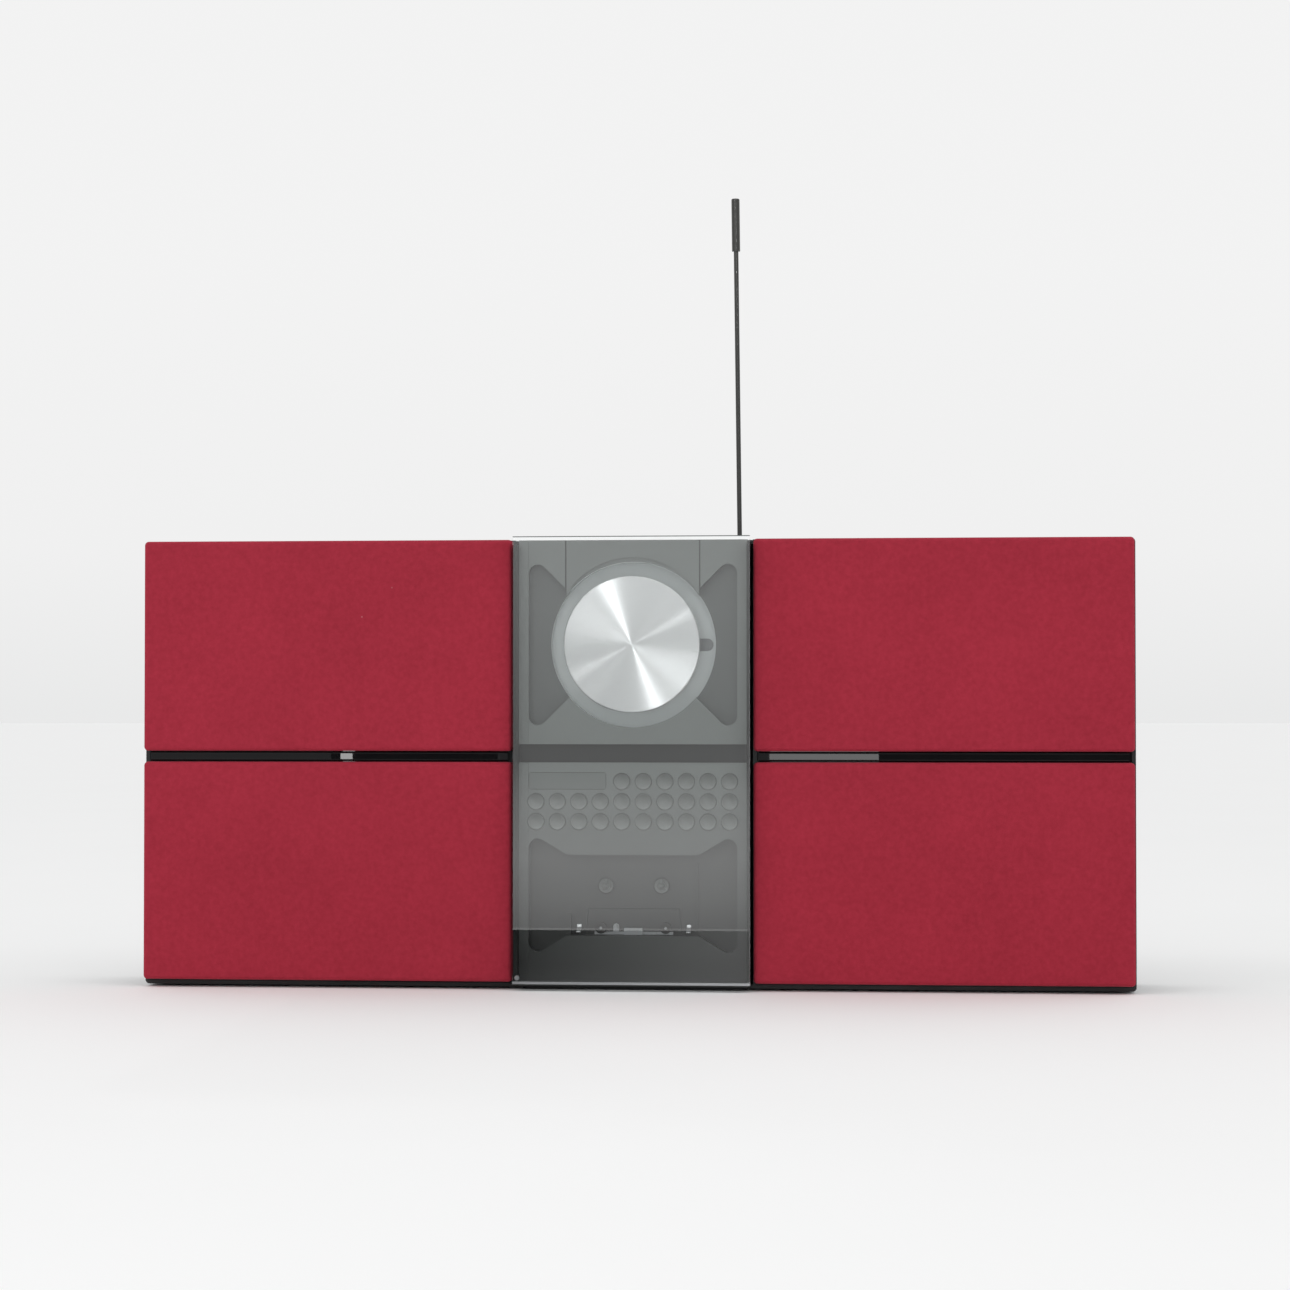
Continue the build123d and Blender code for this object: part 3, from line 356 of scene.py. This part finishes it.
def key_plastic():
    """A round key: satin grey, with a dark rim and a dish painted darker at its top and lighter towards its
    lower edge, a painted shade as if lit from above.
    """
    g = Graph("key_satin_grey")
    parts = g.add("ShaderNodeSeparateXYZ", {"Vector": g.add("ShaderNodeTexCoord").outputs["Generated"]})
    across = g.math("SUBTRACT", parts.outputs[0], 0.5)
    up = g.math("SUBTRACT", parts.outputs[2], 0.5)
    radius = g.math("SQRT", g.math("ADD", g.math("MULTIPLY", across, across), g.math("MULTIPLY", up, up)))
    # Painted shade: the dish goes from darker at its top to lighter at its lower edge.
    dish_painted_shade = g.mix(g.ramp(up, 0.0, 1.0, -0.4, 0.4), srgb(132, 136, 134), srgb(92, 96, 94))
    rim = g.ramp(radius, 0.0, 1.0, KEY_RIM - 0.02, KEY_RIM + 0.01)
    g.set(Base_Color=g.mix(rim, dish_painted_shade, srgb(52, 54, 53)), Roughness=0.3)
    g.bump(g.noise(2000.0, 2.0, 0.6), strength=0.25, distance=0.00004)
    return g.material


WINDOW_LO, WINDOW_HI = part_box("display_window")
WINDOW_RIM = 0.5 * MM


def lcd_window():
    """The unlit display window, close to the plate in tone with a thin dark outline."""
    g = Graph("display_window_grey")
    x, y, z, place = g.position()
    middle, half = (WINDOW_LO + WINDOW_HI) / 2, (WINDOW_HI - WINDOW_LO) / 2
    off_x = g.math("ABSOLUTE", g.math("SUBTRACT", x, middle.x))
    off_z = g.math("ABSOLUTE", g.math("SUBTRACT", z, middle.z))
    near_side = g.math("GREATER_THAN", off_x, half.x - WINDOW_RIM)
    near_edge = g.math("MAXIMUM", near_side, g.math("GREATER_THAN", off_z, half.z - WINDOW_RIM))
    face = g.mix(g.noise(20.0), srgb(112, 117, 115), srgb(118, 123, 121))
    g.set(Base_Color=g.mix(near_edge, face, srgb(82, 85, 84)), Roughness=0.3)
    return g.material


def gloss_black():
    """Polished black baffle moulding that shows in the gap between the covers."""
    g = Graph("baffle_gloss_black")
    smudge = g.noise(26.0, 4.0, 0.6)
    g.set(Base_Color=g.mix(smudge, (0.006, 0.006, 0.007, 1.0), (0.012, 0.012, 0.013, 1.0)))
    g.set(Roughness=g.ramp(smudge, 0.0, 0.03, 0.3, 0.7))
    g.shader.inputs["IOR"].default_value = 1.38
    return g.material


def rubber():
    """Matt black rubber with a dusty bloom."""
    g = Graph("roller_rubber_matt")
    dust = g.noise(420.0, 4.0, 0.7)
    g.set(Base_Color=g.mix(dust, (0.018, 0.018, 0.018, 1.0), (0.04, 0.039, 0.038, 1.0)), Roughness=0.82)
    g.bump(dust, strength=0.3, distance=0.00005)
    return g.material


def circuit_board():
    """Green solder mask with copper tracks under it."""
    g = Graph("circuit_board_green")
    x, y, z, place = g.position()
    cells = g.add("ShaderNodeTexBrick", {"Vector": place, "Scale": 160.0})
    g.feed(cells.inputs["Color1"], srgb(24, 92, 52))
    g.feed(cells.inputs["Color2"], srgb(18, 76, 44))
    g.feed(cells.inputs["Mortar"], srgb(60, 120, 66))
    g.set(Base_Color=cells.outputs[0], Roughness=0.32)
    return g.material


MATERIALS = {
    "cabinet_black": moulded("cabinet_black_satin", srgb(24, 24, 26), 0.42, 0.55),
    "frame_black": moulded("frame_black_matt", srgb(30, 30, 31), 0.6, 0.4),
    "driver_black": moulded("driver_cone_black", srgb(34, 33, 33), 0.8, 0.7, 0.0012),
    "mechanism_black": moulded("mechanism_black_matt", srgb(26, 26, 27), 0.5, 0.4),
    "key_grey": key_plastic(),
    "aerial_dark": moulded("aerial_dark_paint", srgb(38, 38, 35), 0.34, 0.15, 0.0004, 0.05, 0.25),
    "satin_aluminium": carrier_metal(),
    "zinc_steel": satin_metal("zinc_steel_plated", srgb(176, 178, 180), 0.35),
    "spring_chrome": satin_metal("spring_chrome_bright", srgb(196, 197, 199), 0.28),
    "core_iron": moulded("core_iron_lacquered", srgb(52, 50, 50), 0.5, 0.5),
    "speaker_cloth": speaker_cloth(),
    "smoked_glass": smoked_glass(),
    # Painted highlight on the glass's top bevel, and painted shade on the rim above it and on the pane's top
    # and bottom faces.
    "glass_edge_bright": edge_glass("glass_edge_bright", (0.93, 0.945, 0.94, 1.0), 0.3),
    "glass_edge_dark": edge_glass("glass_edge_dark", (0.10, 0.11, 0.108, 1.0), 0.25),
    "spun_aluminium": spun_aluminium(),
    "console_grey": console_grey(),
    "display_window": lcd_window(),
    "baffle_gloss_black": gloss_black(),
    "roller_rubber": rubber(),
    "circuit_board": circuit_board(),
}
for part in frame["record"]["subparts"]:
    node = frame["nodes"][part["node"]]
    node.data.materials.clear()
    node.data.materials.append(MATERIALS[part["material_slot"]])


# ---------------------------------------------------------------- speaker cloths
CLOTH_EDGE = 3.0 * MM
CLOTH_LIP = 6.0 * MM


def rounded_ring(half_w, half_h, corner, along_w, along_h, along_corner):
    """Points round a rectangle with rounded corners, anticlockwise from its lower left."""
    points = []
    flat_w = half_w - corner
    flat_h = half_h - corner
    sides = (
        ((-flat_w, -half_h), (flat_w, -half_h), along_w, (flat_w, -flat_h), -90),
        ((half_w, -flat_h), (half_w, flat_h), along_h, (flat_w, flat_h), 0),
        ((flat_w, half_h), (-flat_w, half_h), along_w, (-flat_w, flat_h), 90),
        ((-half_w, flat_h), (-half_w, -flat_h), along_h, (-flat_w, -flat_h), 180),
    )
    for start, end, count, centre, turn in sides:
        for i in range(count + 1):
            t = i / count
            points.append((start[0] + (end[0] - start[0]) * t, start[1] + (end[1] - start[1]) * t))
        for i in range(1, along_corner):
            angle = math.radians(turn + 90.0 * i / along_corner)
            points.append((centre[0] + corner * math.cos(angle), centre[1] + corner * math.sin(angle)))
    return points


def cloth_sheet(name, low, high):
    """One cloth pulled over the front of a cover, round its edges, and tucked in behind."""
    half_w = (high.x - low.x) / 2
    half_h = (high.z - low.z) / 2
    middle = (low + high) / 2
    along_w, along_h, along_corner = 90, 54, 5
    profile = [(CLOTH_LIP, high.y), (0.0008, high.y), (0.0, high.y - 0.0008), (0.0, (low.y + high.y) / 2)]
    for i in range(7):
        angle = math.radians(90.0 * i / 6)
        profile.append((CLOTH_EDGE * (1 - math.cos(angle)), low.y + CLOTH_EDGE * (1 - math.sin(angle))))
    mesh = bmesh.new()
    rings = []
    for inset, depth in profile:
        corner = max(CLOTH_EDGE - inset, 1e-6)
        outline = rounded_ring(half_w - inset, half_h - inset, corner, along_w, along_h, along_corner)
        rings.append([mesh.verts.new((middle.x + x, depth, middle.z + z)) for x, z in outline])
    for near, far in zip(rings, rings[1:]):
        for i in range(len(near)):
            j = (i + 1) % len(near)
            mesh.faces.new((near[i], near[j], far[j], far[i]))
    flat_w = half_w - CLOTH_EDGE
    flat_h = half_h - CLOTH_EDGE
    grid = []
    for k in range(along_h + 1):
        z = middle.z - flat_h + 2 * flat_h * k / along_h
        row = []
        for i in range(along_w + 1):
            x = middle.x - flat_w + 2 * flat_w * i / along_w
            row.append(mesh.verts.new((x, low.y, z)))
        grid.append(row)
    for k in range(along_h):
        for i in range(along_w):
            mesh.faces.new((grid[k][i], grid[k][i + 1], grid[k + 1][i + 1], grid[k + 1][i]))
    bmesh.ops.remove_doubles(mesh, verts=mesh.verts, dist=5e-6)
    for vert in mesh.verts:
        inside_x = max(0.0, flat_w - abs(vert.co.x - middle.x)) / 0.03
        inside_z = max(0.0, flat_h - abs(vert.co.z - middle.z)) / 0.03
        calm = min(1.0, inside_x, inside_z)
        if abs(vert.co.y - low.y) < 1e-5 and calm > 0.0:
            vert.co.y += calm * 0.00018 * noise.noise(vert.co * 16.0)
            vert.co.y += calm * 0.00022
    bmesh.ops.recalc_face_normals(mesh, faces=mesh.faces)
    data = bpy.data.meshes.new(name)
    mesh.to_mesh(data)
    mesh.free()
    for polygon in data.polygons:
        polygon.use_smooth = True
    piece = bpy.data.objects.new(name, data)
    scene.collection.objects.link(piece)
    data.materials.append(MATERIALS["speaker_cloth"])
    return piece


for level in ("upper", "lower"):
    for hand in ("left", "right"):
        node = f"{level}_{hand}_cover_cloth"
        low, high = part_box(node)
        cloth = cloth_sheet(f"{level}_{hand}_cloth", low, high)
        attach(cloth, f"{level}_{hand}_cover")
        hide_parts(node)


# ---------------------------------------------------------------- glass pane
PANE_TOP_BEVEL = 3.2 * MM
PANE_TOP_DEPTH = 1.0 * MM
PANE_SIDE_BEVEL = 0.5 * MM
PANE_DARK_RIM = 0.75 * MM


def glass_pane():
    """The glass with its wide ground bevel along the top and fine bevels down the sides."""
    low, high = GLASS_LO, GLASS_HI
    bevel_z = high.z - PANE_TOP_BEVEL
    rim_z = high.z - PANE_DARK_RIM
    rim_y = low.y + PANE_TOP_DEPTH * (rim_z - bevel_z) / PANE_TOP_BEVEL
    # The top bevel carries the painted highlight; the thin rim above it carries the painted shade line.
    stations = (
        (low.z, low.y, "smoked_glass"),
        (bevel_z, low.y, "glass_edge_bright"),
        (rim_z, rim_y, "glass_edge_dark"),
        (high.z, low.y + PANE_TOP_DEPTH, None),
    )
    slots = ("smoked_glass", "glass_edge_bright", "glass_edge_dark")
    mesh = bmesh.new()
    rows = []
    for z, front, _ in stations:
        side = max(front, low.y + PANE_SIDE_BEVEL)
        points = (
            (low.x, high.y), (low.x, side), (low.x + PANE_SIDE_BEVEL, front),
            (high.x - PANE_SIDE_BEVEL, front), (high.x, side), (high.x, high.y),
        )
        rows.append([mesh.verts.new((x, y, z)) for x, y in points])
    for (_, _, slot), near, far in zip(stations, rows, rows[1:]):
        for i in range(len(near)):
            j = (i + 1) % len(near)
            face = mesh.faces.new((near[i], near[j], far[j], far[i]))
            face.material_index = slots.index(slot) if 1 <= i <= 3 else 0
    mesh.faces.new(rows[0]).material_index = 2
    mesh.faces.new(rows[-1]).material_index = 2
    bmesh.ops.recalc_face_normals(mesh, faces=mesh.faces)
    data = bpy.data.meshes.new("smoked_glass_pane")
    mesh.to_mesh(data)
    mesh.free()
    for slot in slots:
        data.materials.append(MATERIALS[slot])
    piece = bpy.data.objects.new("smoked_glass_pane", data)
    scene.collection.objects.link(piece)
    return piece


pane = glass_pane()
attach(pane, "glass_door")
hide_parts("glass_panel")


FITTING_R = 2.0 * MM
FITTING_INSET = (3.6 * MM, 2.6 * MM)


def corner_fitting():
    """The small round metal fitting that holds the glass at its lower left corner."""
    mesh = bmesh.new()
    bmesh.ops.create_cone(
        mesh, cap_ends=True, segments=40, radius1=FITTING_R, radius2=FITTING_R * 0.82, depth=0.7 * MM
    )
    data = bpy.data.meshes.new("glass_corner_fitting")
    bmesh.ops.rotate(mesh, verts=mesh.verts, cent=(0, 0, 0), matrix=Matrix.Rotation(math.radians(90), 3, "X"))
    mesh.to_mesh(data)
    mesh.free()
    data.materials.append(MATERIALS["zinc_steel"])
    piece = bpy.data.objects.new("glass_corner_fitting", data)
    piece.location = (GLASS_LO.x + FITTING_INSET[0], GLASS_LO.y - 0.3 * MM, GLASS_LO.z + FITTING_INSET[1])
    scene.collection.objects.link(piece)
    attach(piece, "glass_door")


corner_fitting()


# ---------------------------------------------------------------- stage and light
def add_area(name, place, aim, size, radiance, **flags):
    """A soft rectangular light of that radiance at place, turned towards aim."""
    data = bpy.data.lights.new(name, "AREA")
    data.shape = "RECTANGLE"
    data.size, data.size_y = size
    data.energy = radiance * math.pi * size[0] * size[1]
    light = bpy.data.objects.new(name, data)
    light.location = place
    light.rotation_euler = (Vector(aim) - Vector(place)).to_track_quat("-Z", "Y").to_euler()
    light.visible_camera = False
    for key, value in flags.items():
        setattr(light, key, value)
    scene.collection.objects.link(light)
    return light


def board(name, low, high, radiance, steps=None, along=None):
    """A card seen only in reflections, between two corners; steps are (position, radiance) along x or z."""
    mesh = bmesh.new()
    if low[1] == high[1]:
        corners = ((low[0], low[2]), (high[0], low[2]), (high[0], high[2]), (low[0], high[2]))
        verts = [mesh.verts.new((x, low[1], z)) for x, z in corners]
    else:
        corners = ((low[0], low[1]), (high[0], low[1]), (high[0], high[1]), (low[0], high[1]))
        verts = [mesh.verts.new((x, y, low[2])) for x, y in corners]
    mesh.faces.new(verts)
    data = bpy.data.meshes.new(name)
    mesh.to_mesh(data)
    mesh.free()
    card = bpy.data.objects.new(name, data)
    scene.collection.objects.link(card)
    g = Graph(name)
    g.nodes.remove(g.shader)
    glow = g.add("ShaderNodeEmission", {"Color": (1.0, 1.0, 1.0, 1.0), "Strength": radiance})
    if steps:
        x, y, z, place = g.position()
        first, last = steps[0][0], steps[-1][0]
        place = g.ramp(x if along == "x" else z, 0.0, 1.0, first, last)
        scale = g.add("ShaderNodeValToRGB", {"Fac": place})
        for i, (where, level) in enumerate(steps):
            part = (where - first) / (last - first)
            stops = scale.color_ramp.elements
            stop = stops[i] if i in (0,) else (stops.new(part) if i < len(steps) - 1 else stops[-1])
            stop.position = part
            stop.color = (level, level, level, 1.0)
        g.feed(glow.inputs["Color"], scale)
    g.feed(g.output.inputs["Surface"], glow)
    data.materials.append(g.material)
    card.visible_camera = False
    card.visible_diffuse = False
    card.visible_transmission = False
    card.visible_volume_scatter = False
    card.visible_shadow = False


def add_stage():
    """A wide pale floor under a white room."""
    mesh = bmesh.new()
    bmesh.ops.create_grid(mesh, x_segments=8, y_segments=8, size=60.0)
    data = bpy.data.meshes.new("floor")
    mesh.to_mesh(data)
    mesh.free()
    floor = bpy.data.objects.new("floor", data)
    scene.collection.objects.link(floor)
    g = Graph("floor_pale")
    smudge = g.ramp(g.noise(2.2, 5.0, 0.6), 0.0, 1.0, 0.35, 0.65)
    plain = g.mix(smudge, (0.946, 0.949, 0.949, 1.0), (0.953, 0.956, 0.956, 1.0))
    g.set(Base_Color=plain, Roughness=0.9)
    g.shader.inputs["IOR"].default_value = 1.1
    data.materials.append(g.material)
    world = bpy.data.worlds.new("room")
    world.use_nodes = True
    nodes, links = world.node_tree.nodes, world.node_tree.links
    where = nodes.new("ShaderNodeTexCoord")
    parts = nodes.new("ShaderNodeSeparateXYZ")
    scale = nodes.new("ShaderNodeValToRGB")
    links.new(where.outputs["Generated"], parts.inputs[0])
    links.new(parts.outputs[2], scale.inputs[0])
    links.new(scale.outputs[0], nodes["Background"].inputs[0])
    stops = scale.color_ramp.elements
    stops[0].position, stops[0].color = 0.0, (0.815, 0.818, 0.818, 1.0)
    stops[1].position, stops[1].color = 0.14, (0.892, 0.892, 0.892, 1.0)
    middle = stops.new(0.05)
    middle.color = (0.872, 0.872, 0.872, 1.0)
    nodes["Background"].inputs[1].default_value = 1.0
    scene.world = world


BOARD_Y = GLASS_LO.y - 0.70
SLIVER_Y = BOARD_Y + 0.002
HIGH_Y = BOARD_Y - 0.5
RAIL_LOW, RAIL_HIGH = 0.10, 0.25
# (height, radiance) up the card before the glass, and (place, radiance) across the one on the floor
BOARD_STEPS = (
    (0.0, 0.62), (0.03, 0.80), (0.07, 0.95), (0.12, 0.8),
    (0.165, 0.46), (0.21, 0.50), (0.30, 0.65), (0.43, 0.8),
)
FLOOR_STEPS = ((-0.24, 0.02), (-0.12, 0.04), (-0.04, 0.20), (0.03, 0.34), (0.10, 0.40))


def add_boards():
    """Cards seen only in reflections: two for the glass, five for the slots' rails, one for the disc."""
    floor_near, floor_far = BOARD_Y + 0.045, GLASS_LO.y - 0.005
    board("board_glass", (-0.205, BOARD_Y, 0.0), (0.062, BOARD_Y, 0.43), 1.0, BOARD_STEPS, "z")
    board("board_floor", (-0.24, floor_near, 0.001), (0.10, floor_far, 0.001), 1.0, FLOOR_STEPS, "x")
    board("board_left_dark", (-0.62, BOARD_Y, RAIL_LOW), (-0.374, BOARD_Y, RAIL_HIGH), 0.5)
    board("board_left_black", (-0.374, BOARD_Y, RAIL_LOW), (-0.206, BOARD_Y, RAIL_HIGH), 0.02)
    board("board_left_sliver", (-0.364, SLIVER_Y, 0.12), (-0.352, SLIVER_Y, 0.23), 13.0)
    board("board_right_grey", (0.063, BOARD_Y, RAIL_LOW), (0.170, BOARD_Y, RAIL_HIGH), 5.0)
    board("board_right_black", (0.170, BOARD_Y, RAIL_LOW), (0.52, BOARD_Y, RAIL_HIGH), 0.04)
    board("board_high", (-1.3, HIGH_Y, 0.95), (1.3, HIGH_Y, 2.1), 2.1)


add_stage()
add_boards()
add_area("left_softbox", (-1.3, -1.55, 2.2), CD_CENTRE, (0.9, 0.9), 1.6)
add_area("right_softbox", (2.0, -1.2, 2.0), CD_CENTRE, (0.5, 0.5), 2.0)


def disc_light(name, azimuth, tilt, size, radiance):
    """A lamp seen only in gloss, which lays one bright fan across the spun disc at that angle."""
    turn, lean = math.radians(azimuth), math.radians(tilt)
    away = Vector((math.sin(lean) * math.cos(turn), -math.cos(lean), math.sin(lean) * math.sin(turn)))
    lamp = add_area(name, CD_CENTRE + 2.2 * away, CD_CENTRE, size, radiance)
    lamp.visible_diffuse = False


disc_light("disc_lamp_left", 124.0, 25.0, (0.10, 0.10), 105.0)
disc_light("disc_lamp_right", 37.0, 27.0, (0.02, 0.02), 1300.0)
add_area("floor_lamp", (0.0, -1.75, 0.8), (0.0, -1.75, 0.0), (1.8, 0.5), 0.22, visible_glossy=False)
